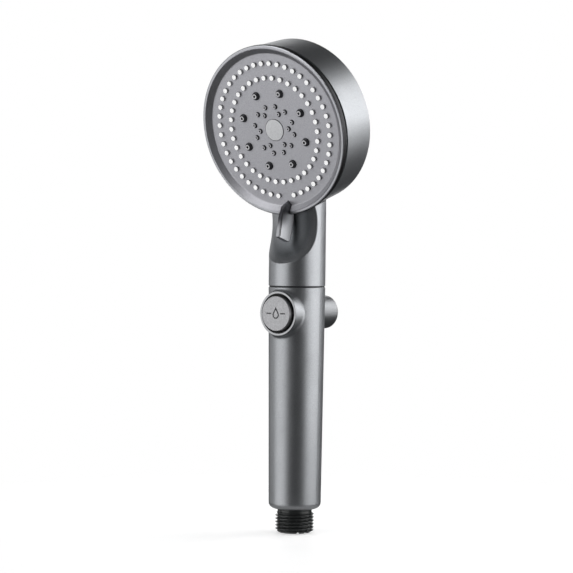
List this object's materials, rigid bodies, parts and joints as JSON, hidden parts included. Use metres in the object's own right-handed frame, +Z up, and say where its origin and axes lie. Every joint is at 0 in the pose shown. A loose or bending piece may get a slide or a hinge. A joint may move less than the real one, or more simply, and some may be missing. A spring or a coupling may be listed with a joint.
{
  "type": "handheld shower head",
  "caption": "Handheld shower head with a turning multi-mode spray face, a selector lever, a push stop valve in the grip and a hose thread.",
  "frame": {"origin": "centre of the hose thread's end face, where the hose washer seats", "axes": "+Z up the handle's axis, -Y the side that sprays, +X to the right as seen from behind the handle looking along +Y"},
  "size_m": [0.0926, 0.0631, 0.2677],
  "materials": {
    "gunmetal_paint": "satin gunmetal metallic paint over moulded plastic",
    "silver_paint": "satin silver metallic paint over moulded plastic",
    "bright_trim": "satin, bright edge",
    "face_grey": "satin metallic grey paint over moulded plastic",
    "white_silicone": "matt",
    "dark_grey": "matt",
    "black_gloss": "semi-gloss",
    "black_plastic": "matt",
    "black_rubber": "matt",
    "white_plastic": "semi-gloss",
    "steel": "bright",
    "brass": "machined"
  },
  "bodies": {
    "handle": {"head_shell": "gunmetal_paint", "grip_sleeve": "gunmetal_paint", "seam_gasket": "black_rubber", "collar_trim": "bright_trim", "valve_retainer": "black_plastic", "rear_bush": "black_plastic", "valve_body": "white_plastic", "inlet_connector": "black_gloss", "connector_o_rings": "black_rubber", "inlet_clamp_nut": "brass", "inlet_screen": "steel", "flow_restrictor": "white_plastic", "waterway_tube": "white_plastic", "tube_o_rings": "black_rubber", "chamber_body": "white_plastic", "chamber_screws": "steel", "port_seat": "white_plastic", "port_seal": "black_rubber", "detent_ball": "steel", "detent_spring": "steel", "slip_ring": "black_plastic", "pivot_washer": "steel", "pivot_screw": "steel"},
    "spray_face": {"face_plate": "face_grey", "face_ring": "gunmetal_paint", "nozzle_mat": "white_silicone", "massage_insert": "dark_grey", "mist_insert": "dark_grey", "centre_cap": "silver_paint", "manifold_plate": "white_plastic", "diverter_disc": "white_plastic", "face_screws": "steel", "selector_lever": "gunmetal_paint"},
    "stop_valve": {"valve_spool": "white_plastic", "spool_o_rings": "black_rubber", "stop_button": "silver_paint", "flow_button": "gunmetal_paint"}
  },
  "joints": [
    {"name": "face_turn", "type": "hinge", "parent": "handle", "child": "spray_face", "pos_m": [0, -0.02282, 0.2176], "axis": [0, -0.9629, -0.2698], "range_deg": [-60, 60]},
    {"name": "stop_slide", "type": "slide", "parent": "handle", "child": "stop_valve", "axis": [0, -1, 0], "range_m": [0, 0.005]}
  ]
}
